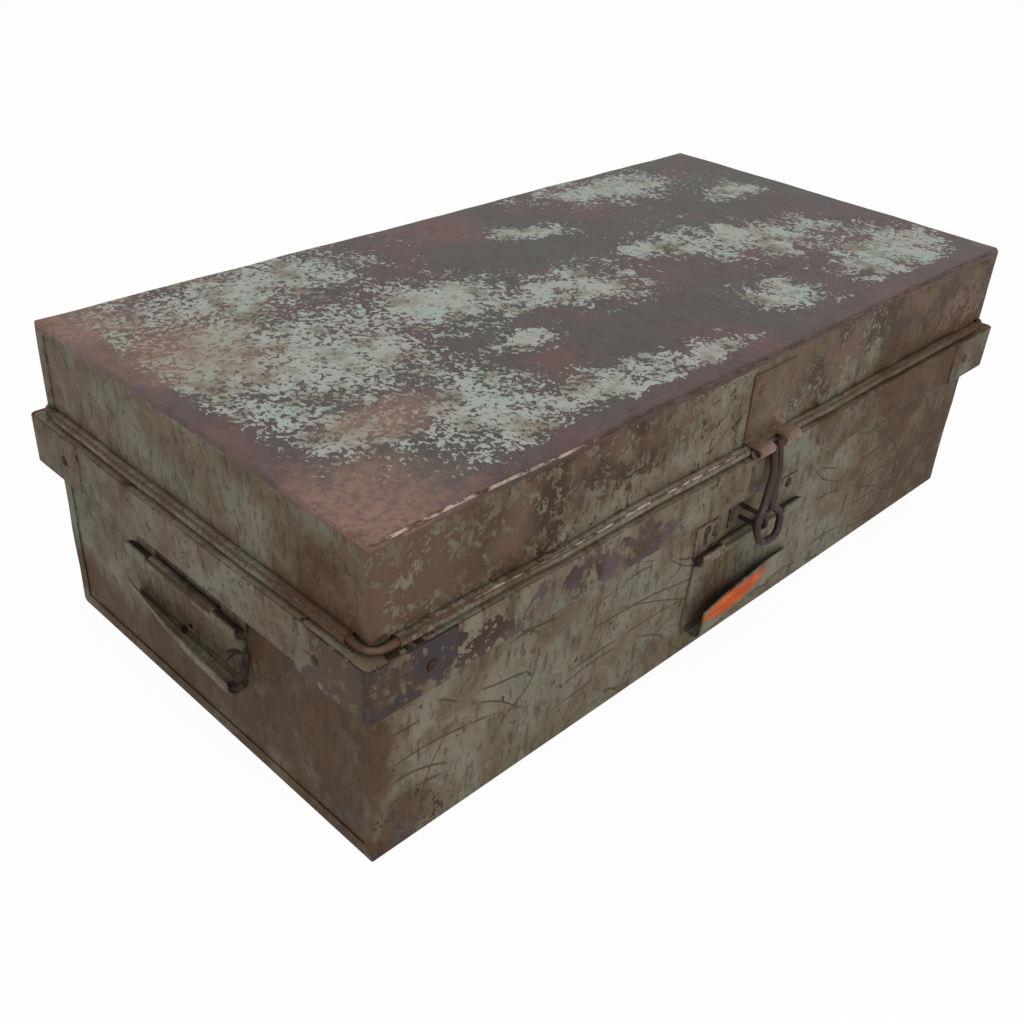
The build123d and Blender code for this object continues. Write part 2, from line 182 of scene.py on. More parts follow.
class Graph:
    """A node tree that is filled by calls of one method."""

    def __init__(self, tree: bpy.types.NodeTree) -> None:
        """Keep the tree."""
        self.tree = tree

    def node(self, kind: str, settings: Mapping[str, Any], inputs: Mapping[Any, Any],
             output: Any = 0) -> Signal:
        """Add a node.

        Args:
            kind: The node's type.
            settings: Its properties, set before its sockets.
            inputs: Values or signals by socket name or number; a list of signals goes into one socket.
            output: Name or number of the output that is returned.

        Returns:
            The chosen output.
        """
        node = self.tree.nodes.new(kind)
        for key, value in settings.items():
            setattr(node, key, value)
        for key, value in inputs.items():
            for item in value if isinstance(value, list) else [value]:
                if isinstance(item, Signal):
                    self.tree.links.new(item.socket, node.inputs[key])
                else:
                    node.inputs[key].default_value = item
        return Signal(self, node.outputs[output] if len(node.outputs) else None)


DULL_SHEEN = 0.12


class Shader(Graph):
    """A material's node tree, with the pattern makers that the finishes share."""

    def __init__(self, name: str) -> None:
        """Start a material whose patterns lie on object coordinates in millimetres.

        Args:
            name: Name of the material.
        """
        self.material = bpy.data.materials.new(name)
        self.material.use_nodes = True
        super().__init__(self.material.node_tree)
        self.tree.nodes.clear()
        local = self.node("ShaderNodeTexCoord", {}, {}, "Object")
        self.place = self.node("ShaderNodeVectorMath", {"operation": "SCALE"}, {0: local, "Scale": 1 / MM})
        axes = [self.node("ShaderNodeSeparateXYZ", {}, {0: self.place}, axis) for axis in "XYZ"]
        self.x, self.y, self.z = axes

    def cloud(self, size: float, detail: float = 5.0, seed: float = 0.0, bend: float = 0.0,
              stretch: Triple = (1.0, 1.0, 1.0), rough: float = 0.55) -> Signal:
        """Cloudy noise from 0 to 1.

        Args:
            size: Width of its largest features in millimetres.
            detail: Number of finer layers.
            seed: Which noise it is.
            bend: How far it is distorted.
            stretch: Factors on the coordinates, where more makes finer features.
            rough: Weight of the finer layers.

        Returns:
            The noise.
        """
        place = self.place
        if stretch != (1.0, 1.0, 1.0):
            place = self.node("ShaderNodeVectorMath", {"operation": "MULTIPLY"}, {0: place, 1: stretch})
        inputs = {"Vector": place, "W": seed, "Scale": 1 / size, "Detail": detail, "Roughness": rough,
                  "Distortion": bend}
        return self.node("ShaderNodeTexNoise", {"noise_dimensions": "4D"}, inputs)

    def step(self, value: Any, low: float, high: float) -> Signal:
        """Smooth step from 0 at one value to 1 at another."""
        inputs = {"Value": value, "From Min": low, "From Max": high}
        return self.node("ShaderNodeMapRange", {"interpolation_type": "SMOOTHSTEP"}, inputs)

    def blend(self, under: Any, over: Any, cover: Any) -> Signal:
        """Mix of two colours.

        Args:
            under: The colour below, a tint or a signal.
            over: The colour above.
            cover: How much of the lower colour is covered.

        Returns:
            The mixed colour.
        """
        colours = [c.linear if isinstance(c, Tint) else c for c in (under, over)]
        settings = {"data_type": "RGBA"}
        return self.node("ShaderNodeMix", settings, {0: cover, 6: colours[0], 7: colours[1]}, 2)

    def flag(self, name: str) -> Signal:
        """A number that the mesh carries, or 0 where it carries none."""
        return self.node("ShaderNodeAttribute", {"attribute_name": name}, {}, "Fac")

    def finish(self, colour: Signal, rough: Any, metal: Any, height: Signal,
               relief: float) -> bpy.types.Material:
        """Close the material.

        Args:
            colour: Base colour.
            rough: Roughness.
            metal: Share of bare metal.
            height: Height of the surface from 0 to 1.
            relief: What a height of 1 measures, in millimetres.

        Returns:
            The material.
        """
        normal = self.node("ShaderNodeBump", {}, {"Strength": 1.0, "Distance": relief * MM, "Height": height})
        inputs = {"Base Color": colour, "Roughness": rough, "Metallic": metal, "Normal": normal,
                  "Specular IOR Level": DULL_SHEEN}
        surface = self.node("ShaderNodeBsdfPrincipled", {}, inputs)
        self.node("ShaderNodeOutputMaterial", {}, {"Surface": surface})
        return self.material


@dataclass(frozen=True)
class Patch:
    """An oval zone of a surface, in millimetres.

    Attributes:
        centre: Its middle.
        radii: Its half sizes.
        turn: Its turn about the vertical axis, in degrees.
    """

    centre: Triple
    radii: Triple
    turn: float = 0.0

    def cover(self, shader: Shader) -> Signal:
        """How deep a point lies in the zone: 1 in its middle, 0 on its rim and less outside.

        Args:
            shader: The material's graph.

        Returns:
            The depth.
        """
        inputs = {"Vector": shader.place, "Location": self.centre, "Rotation": (0, 0, radians(self.turn)),
                  "Scale": self.radii}
        local = shader.node("ShaderNodeMapping", {"vector_type": "TEXTURE"}, inputs)
        return 1 - shader.node("ShaderNodeVectorMath", {"operation": "LENGTH"}, {0: local}, "Value")


def deepest(shader: Shader, patches: Sequence[Patch]) -> Signal:
    """How deep a point lies in the nearest of several zones, and no less than -0.9.

    Args:
        shader: The material's graph.
        patches: The zones.

    Returns:
        The depth.
    """
    best = patches[0].cover(shader).most(-0.9)
    for patch in patches[1:]:
        best = best.most(patch.cover(shader))
    return best


def top_zone(x: float, y: float, long: float, wide: float, turn: float = 0.0) -> Patch:
    """A zone of the lid's top, by its middle, its half sizes and its turn."""
    return Patch((x, y, LID_TOP), (long, wide, TOP_DEPTH), turn)


def front_zone(x: float, z: float, long: float, tall: float) -> Patch:
    """A zone of the lid's front, by its middle and its half sizes."""
    return Patch((x, LID_FRONT, z), (long, FRONT_DEPTH, tall))


@dataclass(frozen=True)
class Layers:
    """The values that one finish ends in, from the paint down to the metal."""

    colour: Signal
    rough: Signal
    metal: Signal
    height: Signal


@dataclass(frozen=True)
class WornPaint:
    """Green paint on sheet steel, with grime, chips, scratches, rust and rubbed edges; some rubbed edges also
    carry a painted highlight, and some darker zones a painted shade.

    Attributes:
        name: Name of the material.
        paint: Colour of sound paint.
        faded: Colour of thin or bleached paint.
        grime: Colour of the thin dirt on it.
        soil: Colour of the thick dirt on it.
        chip: Colour of the rusted steel in chips.
        steel: Colour of larger bare areas.
        grime_bias: More of it makes more grime.
        chip_bias: More of it makes more chips.
        chip_size: Width of the larger chips in millimetres.
        grime_and_shade: Zones that are darker, with more grime colour; at the right end of the front this is
            partly painted shade.
        bare: Zones with more chips.
        worn_edge_highlight: How much pale worn steel the rubbed edges take, partly wear and partly a painted
            highlight.
        painted_highlight: Zones where the rubbed edges carry a painted highlight.
        scratch: How dark the scratches are.
        seed: Which noise it takes.
    """

    name: str
    paint: Tint = Tint.SAGE
    faded: Tint = Tint.FADED_SAGE
    grime: Tint = Tint.OLIVE_GRIME
    soil: Tint = Tint.BROWN_GRIME
    chip: Tint = Tint.DARK_CHIP
    steel: Tint = Tint.PURPLE_STEEL
    grime_bias: float = 0.0
    chip_bias: float = -0.12
    chip_size: float = 16.0
    grime_and_shade: tuple[Patch, ...] = ()
    bare: tuple[Patch, ...] = ()
    worn_edge_highlight: float = 0.15
    painted_highlight: tuple[Patch, ...] = ()
    scratch: float = 0.0
    seed: float = 0.0

    def coat_colour(self, s: Shader) -> Signal:
        """Colour of the paint and the dirt on it, with painted shade in some of the darker zones.

        Args:
            s: The material's graph.

        Returns:
            The colour.
        """
        clean = s.blend(self.paint, self.faded, s.step(s.cloud(60, 5, self.seed + 1), 0.4, 0.62))
        field = s.cloud(34, 8, self.seed + 2, 0.4, rough=0.62) + self.grime_bias
        # The listed zones take more grime colour; at the right end of the front this darkening is partly
        # painted shade.
        if self.grime_and_shade:
            field = field + s.step(deepest(s, self.grime_and_shade), -0.5, 0.5) * 0.2
        grimy = s.blend(clean, self.grime, s.step(field, 0.4, 0.58))
        crust = s.step(s.cloud(10, 8, self.seed + 23, 0.3, (1.0, 1.0, 0.6), 0.7), 0.46, 0.64) * 0.6
        soiled = s.blend(grimy, s.blend(self.soil, self.chip, crust), s.step(field, 0.54, 0.74))
        streaks = s.cloud(5, 4, self.seed + 3, 0.3, (1.0, 1.0, 0.3))
        return s.blend(soiled, self.chip, s.step(streaks, 0.5, 0.68) * 0.55)

    def steel_colour(self, s: Shader) -> Signal:
        """Colour of the bare steel and its rust."""
        return s.blend(self.chip, self.steel, s.step(s.cloud(45, 5, self.seed + 4), 0.45, 0.6))

    def bare_field(self, s: Shader) -> Signal:
        """A field that is above 0 where the steel is bare.

        Args:
            s: The material's graph.

        Returns:
            The field.
        """
        ragged = (s.cloud(self.chip_size, 7, self.seed + 5, 0.6, rough=0.6) - 0.5) * 1.1
        flakes = (s.cloud(self.chip_size / 4, 4, self.seed + 6, 0.4) - 0.5) * 0.7
        field = ragged + flakes + self.chip_bias
        if self.bare:
            field = field + s.step(deepest(s, self.bare), -0.5, 0.6) * 0.19
        return field

    def scratches(self, s: Shader) -> Signal:
        """Thin, open, swaying scratches in three directions.

        Args:
            s: The material's graph.

        Returns:
            1 in a scratch and 0 beside it.
        """
        found: list[Signal] = []
        families = ((0.35, 40.0, self.seed + 7), (-1.5, 64.0, self.seed + 8), (0.06, 23.0, self.seed + 26))
        for slope, pitch, seed in families:
            sway = (s.cloud(90, 1, seed) - 0.5) * 2.4
            run = ((s.x + s.y) * slope + s.z) * (1 / pitch) + sway
            line = abs(s.node("ShaderNodeMath", {"operation": "FRACT"}, {0: run}) - 0.5)
            where = s.step(s.cloud(52, 4, seed + 0.5), 0.47, 0.56)
            found.append(s.step(line, 1.2 / pitch, 0.4 / pitch) * where)
        walls = s.step(abs(s.y), -4 - WALL_FRONT, -2 - WALL_FRONT)
        flats = walls * s.step(abs(s.x), -5 - WALL_LEFT, -20 - WALL_LEFT)
        return found[0].most(found[1]).most(found[2]) * flats

    def worn_edge_and_highlight(self, s: Shader) -> Signal:
        """How much pale worn steel a rubbed edge takes, partly wear and partly a painted highlight.

        Args:
            s: The material's graph.

        Returns:
            The brightness from 0 to 1.
        """
        if not self.painted_highlight:
            return s.step(s.cloud(40, 3, self.seed + 20), 0.4, 0.6) * self.worn_edge_highlight
        return s.step(deepest(s, self.painted_highlight), -0.1, 0.3).most(self.worn_edge_highlight)

    def overlay(self, s: Shader, layers: Layers) -> Layers:
        """What lies over the worn paint; nothing here."""
        return layers

    def material(self) -> bpy.types.Material:
        """Build the material.

        Returns:
            The material.
        """
        s = Shader(self.name)
        bare = s.step(self.bare_field(s), 0.0, 0.03)
        lines = self.scratches(s) * self.scratch
        specks = s.step(s.cloud(3.2, 3, self.seed + 9, 0.0, (1.0, 1.0, 0.6)), 0.55, 0.66)
        coat = s.blend(self.coat_colour(s), self.chip, (specks * 0.5).most(lines))
        colour = s.blend(coat, self.steel_colour(s), bare)
        grain = s.cloud(1.5, 3, self.seed + 10)
        wear = (s.cloud(9, 5, self.seed + 11) - 0.5) * 1.2
        rubbed = s.step(s.flag("rub"), 0.1, 0.8) + wear
        # Rubbed bends turn to pale worn steel; this is partly wear and partly a painted highlight, fullest in
        # the highlight zones.
        sparks = (s.cloud(4, 6, self.seed + 25, 0.0, (0.4, 1.0, 1.0), 0.7) - 0.5) * 3.2
        bright = s.step(s.step(s.flag("rub"), 0.6, 0.8) + sparks, 0.75, 1.35) * self.worn_edge_and_highlight(s) * 0.75
        colour = s.blend(colour, self.chip, s.step(rubbed, 0.42, 0.75) * 0.8)
        colour = s.blend(colour, Tint.WORN_STEEL_HIGHLIGHT, bright)
        rough = 0.66 - bare * 0.16 - bright * 0.3 + (grain - 0.5) * 0.3
        metal = (bare * 0.2).most(bright * 0.7)
        height = (1 - bare) * 0.5 + grain * 0.3 - lines * 0.4 + s.cloud(8, 3, self.seed + 12) * 0.5
        layers = self.overlay(s, Layers(colour, rough, metal, height))
        return s.finish(layers.colour, layers.rough, layers.metal, layers.height, 0.22)


LID_ISLANDS = (
    top_zone(-188, 118, 108, 46),
    top_zone(-205, 2, 86, 66, 20),
    top_zone(-96, 28, 76, 42, -20),
    top_zone(-12, -4, 68, 35, -15),
    top_zone(-178, -100, 48, 52, -20),
    top_zone(-100, -118, 40, 22),
    top_zone(-45, -128, 56, 21),
    top_zone(172, 120, 80, 36, -8),
    top_zone(165, -20, 95, 44, -22),
    top_zone(82, 10, 24, 20),
    top_zone(46, 84, 38, 16, -20),
    top_zone(94, -106, 42, 30, -20),
    top_zone(230, -102, 72, 44, 10),
    top_zone(252, 57, 34, 22),
    top_zone(-98, -48, 30, 15),
    top_zone(-244, 40, 58, 92, -12),
    top_zone(-246, -74, 36, 26, -12),
)
LID_STAINS = (
    top_zone(-294, -134, 64, 56),
    top_zone(-296, 130, 52, 46),
    top_zone(-262, 60, 52, 56),
    top_zone(-225, -70, 46, 24),
)


@dataclass(frozen=True)
class LidPaint(WornPaint):
    """The lid's finish: its top is mostly bare, with ragged islands of pale paint.

    Attributes:
        top: Height of the lid's top.
        front: Where its front lies.
        left: Where its left end lies.
        islands: Where paint is left on the top.
        stains: Where rust colours the top.
    """

    top: float = LID_TOP
    front: float = LID_FRONT
    left: float = LID_LEFT
    islands: tuple[Patch, ...] = LID_ISLANDS
    stains: tuple[Patch, ...] = LID_STAINS

    def on_top(self, s: Shader) -> Signal:
        """1 on the outside of the top, 0 on the sides and inside."""
        return s.step(s.z, self.top - 5, self.top - 2.5) * (1 - s.flag("inside"))

    def rim(self, s: Shader) -> Signal:
        """1 along the front and left edges of the top, where hands have worn all paint away.

        Args:
            s: The material's graph.

        Returns:
            The share of wear.
        """
        sway = (s.cloud(18, 6, self.seed + 22) - 0.5) * 20
        along_front = s.step(s.y + sway, self.front + 22, self.front + 8)
        along_left = s.step(s.x + sway, self.left + 20, self.left + 6)
        return along_front.most(along_left)

    def bare_field(self, s: Shader) -> Signal:
        """Bare top outside the islands, and sound sides apart from their bare zones.

        Args:
            s: The material's graph.

        Returns:
            The field.
        """
        sides = super().bare_field(s)
        holes = (s.cloud(24, 9, self.seed + 13, 0.5, rough=0.66) - 0.5) * 1.5
        flaking = s.step(s.x, self.left + 205, self.left + 105) * 1.3 + 1.3
        pocks = (s.cloud(3.2, 4, self.seed + 14, 0.6) - 0.5) * flaking
        top = holes + pocks - deepest(s, self.islands) * 0.4 + 0.14 + self.rim(s) * 0.4
        share = self.on_top(s)
        return top * share + sides * (1 - share)

    def coat_colour(self, s: Shader) -> Signal:
        """Pale paint on the top and grimy paint on the sides.

        Args:
            s: The material's graph.

        Returns:
            The colour.
        """
        sides = super().coat_colour(s)
        pale = s.blend(Tint.PALE_SAGE, Tint.MINT_SAGE, s.step(s.cloud(40, 4, self.seed + 15), 0.45, 0.6))
        pale = s.blend(pale, Tint.DUSTY_SAGE, s.step(s.cloud(18, 7, self.seed + 16), 0.46, 0.68))
        return s.blend(sides, s.blend(pale, Tint.TAN_RUST, self.stain(s) * 0.45), self.on_top(s))

    def stain(self, s: Shader) -> Signal:
        """Where rust colours the top."""
        ragged = (s.cloud(14, 9, self.seed + 17, rough=0.7) - 0.5) * 2.0
        return s.step(deepest(s, self.stains) + ragged, -0.3, 0.8)

    def steel_colour(self, s: Shader) -> Signal:
        """Smooth steel that turns from grey to purple and red, and rusty sheet at the left.

        Args:
            s: The material's graph.

        Returns:
            The colour.
        """
        rusted = s.step(s.x, self.left + 100, self.left + 40) * 0.8
        sides = s.blend(super().steel_colour(s), self.steel, rusted)
        purple = s.step(s.cloud(110, 4, self.seed + 18), 0.42, 0.6)
        blush = s.blend(Tint.GREY_STEEL, Tint.PURPLE_STEEL, purple)
        blush = s.blend(blush, Tint.PURPLE_STEEL, self.rim(s))
        warm = s.blend(blush, Tint.RED_STEEL, s.step(s.cloud(80, 5, self.seed + 19), 0.5, 0.66))
        spots = s.step(s.cloud(7, 8, self.seed + 21, rough=0.7), 0.46, 0.66) * 0.45
        dull = s.blend(warm, Tint.DARK_CHIP, spots)
        grains = s.step(s.cloud(4, 8, self.seed + 24, rough=0.75), 0.42, 0.62) * 0.7
        rusty = s.blend(dull, s.blend(Tint.TAN_RUST, Tint.PURPLE_STEEL, grains), self.stain(s) * 0.8)
        return s.blend(sides, rusty, self.on_top(s))


@dataclass(frozen=True)
class GripPaint(WornPaint):
    """A grip's finish, with strokes of other paint, or rust holes that are painted near-black as painted
    shade.

    Attributes:
        marks: Where the strokes or holes are.
        bright: Their lighter colour.
        deep: Their darker colour.
        ragged: How ragged their edges are.
    """

    marks: tuple[Patch, ...] = ()
    bright: Tint = Tint.ORANGE_PAINT
    deep: Tint = Tint.DEEP_ORANGE
    ragged: float = 1.2

    def overlay(self, s: Shader, layers: Layers) -> Layers:
        """The marks, over the worn paint.

        Args:
            s: The material's graph.
            layers: The worn paint.

        Returns:
            The paint with its marks.
        """
        brushed = s.cloud(6, 5, self.seed + 18, 0.3, (0.2, 0.6, 1.0))
        mark = s.step(deepest(s, self.marks) + (brushed - 0.5) * self.ragged, -0.1, 0.36)
        tone = s.blend(self.bright, self.deep, s.step(brushed, 0.36, 0.6) * 0.85)
        colour = s.blend(layers.colour, tone, mark)
        keep = 1 - mark
        rough = layers.rough * keep + mark * 0.6
        return Layers(colour, rough, layers.metal * keep, layers.height + mark * 0.4)


@dataclass(frozen=True)
class RustyWire:
    """Dark, handled steel with rust in its bends.

    Attributes:
        name: Name of the material.
        steel: Colour of the handled steel.
        rust: Colour of its rust.
        seed: Which noise it takes.
    """

    name: str
    steel: Tint = Tint.DARK_STEEL
    rust: Tint = Tint.BROWN_RUST
    seed: float = 0.0

    def material(self) -> bpy.types.Material:
        """Build the material.

        Returns:
            The material.
        """
        s = Shader(self.name)
        rusty = s.step(s.cloud(14, 7, self.seed + 1, 0.3), 0.42, 0.62)
        worn = s.step(s.cloud(20, 5, self.seed + 2), 0.56, 0.68) * 0.25
        colour = s.blend(s.blend(self.steel, Tint.PINK_STEEL, worn), self.rust, rusty * 0.4)
        pits = s.cloud(2.2, 4, self.seed + 3)
        rough = 0.45 + rusty * 0.3 + (pits - 0.5) * 0.3
        return s.finish(colour, rough, 0.5 - rusty * 0.4, pits + s.cloud(7, 3, self.seed + 4), 0.18)


LID_BARE = (
    front_zone(-150, 188, 84, 20),
    front_zone(-285, 175, 60, 40),
    front_zone(-215, 172, 50, 26),
    front_zone(-112, 184, 14, 18),
    front_zone(70, 178, 60, 26),
    front_zone(150, 190, 120, 18),
    front_zone(250, 176, 70, 20),
)
COLLAR_BARE = (
    Patch((-152, COLLAR_FRONT, 126), (34, 12, 14)),
    Patch((-112, COLLAR_FRONT, 120), (30, 12, 12)),
    Patch((-250, COLLAR_FRONT, 122), (40, 12, 12)),
    Patch((-294, COLLAR_FRONT, 128), (30, 14, 16)),
)
# Zones where the walls are darker: the right end of the front, partly as painted shade, the front half of the
# left end, and the foot of the left end and of the front's left corner.
WALL_GRIME_AND_SHADE = (
    Patch((290, WALL_FRONT, 60), (120, 30, 90)),
    Patch((WALL_LEFT, -110, 60), (12, 110, 80)),
    Patch((WALL_LEFT, 0, 20), (30, 160, 28)),
    Patch((-297, WALL_FRONT, 14), (30, 30, 26)),
)
# The walls' zones, and the right end of the collar, which is darker partly as painted shade.
COLLAR_GRIME_AND_SHADE = (
    *WALL_GRIME_AND_SHADE,
    Patch((250, COLLAR_FRONT, 126), (140, 20, 40)),
)
BODY_BARE = (
    Patch((-290, WALL_FRONT, 14), (34, 20, 22)),
    Patch((WALL_LEFT, -140, 10), (20, 24, 16)),
)
CLIP_BARE = (Patch((-35, COLLAR_FRONT, 82), (18, 12, 18)),)
STRAP_BARE = (Patch((-310, -160, 126), (90, 90, 60)),)
KNUCKLE_BARE = (Patch((50, -164, 147), (120, 30, 15)),)
ORANGE_STROKE = (Patch((-10, -168, 41), (46, 13, 8)),)
# The left grip's rust holes: not cut into the sheet but painted near-black, as painted shade behind them.
PAINTED_HOLE_SHADE = (
    Patch((LEFT_GRIP_PLATE, 16, 57), (4, 4.5, 3)),
    Patch((LEFT_GRIP_PLATE, 22, 54), (4, 2.5, 2)),
    Patch((LEFT_GRIP_PLATE, 11, 62), (4, 2.5, 2)),
    Patch((LEFT_GRIP_PLATE, 3, 54), (4, 3.5, 3)),
    Patch((LEFT_GRIP_PLATE, -13, 56), (4, 2.5, 1.6)),
)
# Painted highlights along the lid's front top edge and along the rolled edge at the lid's foot.
LID_PAINTED_HIGHLIGHT = (
    Patch((-236, LID_FRONT + 1, LID_TOP - 1), (86, 8, 8)),
    Patch((-130, LID_FRONT - 3, 150), (180, 10, 2.6)),
)
# The right end of the lid's front, darker partly as painted shade, and a darker zone low on the front of the
# lid's left end.
LID_GRIME_AND_SHADE = (
    front_zone(262, 172, 104, 52),
    Patch((LID_LEFT, -120, 155), (14, 40, 34)),
)


class Finish(Enum):
    """The object's finishes."""

    LID = LidPaint("lid_paint", seed=3.0, grime_bias=0.02, chip_bias=-0.12, chip_size=9.0, bare=LID_BARE,
                   grime_and_shade=LID_GRIME_AND_SHADE, chip=Tint.DARK_CHIP, steel=Tint.RUSTY_SHEET, painted_highlight=LID_PAINTED_HIGHLIGHT)
    BODY = WornPaint("body_paint", seed=21.0, grime_bias=0.0, chip_bias=-0.2, bare=BODY_BARE,
                     grime_and_shade=WALL_GRIME_AND_SHADE, scratch=0.75)
    COLLAR = WornPaint("collar_paint", seed=41.0, grime_bias=0.02, chip_bias=-0.13, bare=COLLAR_BARE,
                       grime_and_shade=COLLAR_GRIME_AND_SHADE, worn_edge_highlight=0.3)
    CLIP = WornPaint("clip_paint", steel=Tint.PINK_STEEL, seed=71.0, chip_bias=-0.15, bare=CLIP_BARE)
    STRAP = WornPaint("strap_paint", seed=61.0, grime_bias=0.06, chip=Tint.DARK_STEEL, steel=Tint.BROWN_CHIP,
                      chip_bias=-0.12, bare=STRAP_BARE, worn_edge_highlight=0.3)
    HASP_STRAP = WornPaint("hasp_strap_paint", seed=65.0, grime_bias=0.12, chip_bias=-0.14, bare=KNUCKLE_BARE,
                           steel=Tint.PINK_STEEL, chip=Tint.RUSTY_SHEET)
    GRIP = WornPaint("grip_paint", seed=81.0, grime_bias=0.06, chip_bias=-0.14)
    FRONT_GRIP = GripPaint("front_grip_paint", seed=91.0, grime_bias=-0.03, chip_bias=-0.22,
                           marks=ORANGE_STROKE)
    # The left grip's rust holes are painted in near-black painted shade.
    LEFT_GRIP = GripPaint("left_grip_paint", seed=85.0, grime_bias=0.02, chip_bias=-0.16, marks=PAINTED_HOLE_SHADE,
                          bright=Tint.HOLE_SHADE, deep=Tint.HOLE_SHADE, ragged=1.4)
    INSIDE = WornPaint("inside_paint", seed=101.0, chip_bias=-0.2, grime_bias=-0.04)
    TRAY = WornPaint("tray_paint", paint=Tint.GREEN_SAGE, seed=121.0, chip_bias=-0.18, grime_bias=-0.06)
    WIRE = RustyWire("wire_steel", seed=141.0)
    EDGE_WIRE = RustyWire("edge_wire_steel", steel=Tint.BROWN_CHIP, seed=145.0)
    RIVET = RustyWire("rivet_steel", steel=Tint.DARK_CHIP, seed=151.0)


MATERIALS: dict[Finish, bpy.types.Material] = {}


def material_of(finish: Finish) -> bpy.types.Material:
    """The material of a finish, built when it is first asked for.

    Args:
        finish: The finish.

    Returns:
        Its material.
    """
    if finish not in MATERIALS:
        MATERIALS[finish] = finish.value.material()
    return MATERIALS[finish]


def dress(piece: bpy.types.Object, finish: Finish) -> None:
    """Give a piece one finish."""
    piece.data.materials.clear()
    piece.data.materials.append(material_of(finish))


def smooth(share: float) -> float:
    """Smooth step of a share that is cut to 0 and 1."""
    share = min(max(share, 0.0), 1.0)
    return share * share * (3 - 2 * share)


@dataclass(frozen=True)
class Calm:
    """A box in which sheets keep their true shape, because something moves or fits there.

    Attributes:
        low: Its lowest corner in metres.
        high: Its highest corner in metres.
    """

    low: Triple
    high: Triple

    @classmethod
    def around(cls, *nodes: str, margin: float = 14 * MM) -> "Calm":
        """The box round several nodes, with a margin.

        Args:
            nodes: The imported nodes.
            margin: The margin in metres.

        Returns:
            The box.
        """
        boxes = [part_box(node) for node in nodes]
        low = [min(box[0][axis] for box in boxes) - margin for axis in range(3)]
        high = [max(box[1][axis] for box in boxes) + margin for axis in range(3)]
        return cls(tuple(low), tuple(high))

    def distance(self, place: Vector) -> float:
        """Distance of a point from the box."""
        gaps = [max(lo - p, 0.0, p - hi) for lo, p, hi in zip(self.low, place, self.high)]
        return Vector(gaps).length


@dataclass(frozen=True)
class Waves:
    """The gentle waves and small dents that long use leaves in thin sheet.

    Attributes:
        depth: Height of the long waves in metres.
        size: Length of the long waves in metres.
        fine_depth: Height of the small dents in metres.
        fine_size: Length of the small dents in metres.
        fade: Distance in metres over which they fade towards a calm box.
        apart: How far the pattern of the dents lies from that of the waves.
        calm: Boxes that stay true.
    """

    depth: float = 0.9 * MM
    size: float = 85 * MM
    fine_depth: float = 0.35 * MM
    fine_size: float = 24 * MM
    fade: float = 40 * MM
    apart: Triple = (7.3, 1.9, 4.1)
    calm: tuple[Calm, ...] = ()

    def shift(self, place: Vector) -> Vector:
        """How far a point of any sheet is moved.

        Args:
            place: The point.

        Returns:
            The way that it moves.
        """
        near = min((box.distance(place) for box in self.calm), default=self.fade)
        long_wave = noise.noise_vector(place / self.size) * self.depth
        small_dent = noise.noise_vector(place / self.fine_size + Vector(self.apart)) * self.fine_depth
        return (long_wave + small_dent) * smooth(near / self.fade)


@dataclass(frozen=True)
class GripBend:
    """How a grip's curl has been knocked out of shape.

    Attributes:
        out: Direction out of the wall.
        press: Share by which the curl is pressed in at its low end, its middle and its high end.
        lift: How far its lip is pulled up there, in metres.
        low: Lowest corner of the grip's box.
        high: Highest corner of the grip's box.
        plate: Thickness of its plate, which stays where it is.
        hinge: Height of its roll, which stays round.
        fade: Distance in metres over which the bend grows below the roll.
        start: How far out the curl begins, in metres.
        run: Distance in metres over which the curl's bend grows.
        dent_size: Length of its small dents in metres.
        dent_depth: Depth of its small dents in metres.
    """

    out: Vector
    press: Triple
    lift: Triple
    low: Vector
    high: Vector
    plate: float = 1.2 * MM
    hinge: float = 22 * MM
    fade: float = 12 * MM
    start: float = 4 * MM
    run: float = 8 * MM
    dent_size: float = 16 * MM
    dent_depth: float = 0.6 * MM

    def _at(self, values: Triple, share: float) -> float:
        """Value along the grip, by a parabola through its three values."""
        start, middle, end = values
        return middle + (end - start) / 2 * share + ((end + start) / 2 - middle) * share * share

    def shift(self, place: Vector) -> Vector:
        """How far a point of the grip is moved.

        Args:
            place: The point.

        Returns:
            The way that it moves.
        """
        axis = 0 if self.out.y else 1
        share = (2 * place[axis] - self.low[axis] - self.high[axis]) / (self.high[axis] - self.low[axis])
        wall = min(self.low.dot(self.out), self.high.dot(self.out))
        reach = place.dot(self.out) - wall - self.plate
        below = smooth((self.high.z - self.hinge - place.z) / self.fade)
        outside = smooth((reach - self.start) / self.run)
        moved = noise.noise_vector(place / self.dent_size) * self.dent_depth * outside
        moved -= self.out * (reach * self._at(self.press, share))
        moved.z += self._at(self.lift, share) * outside
        return moved * below


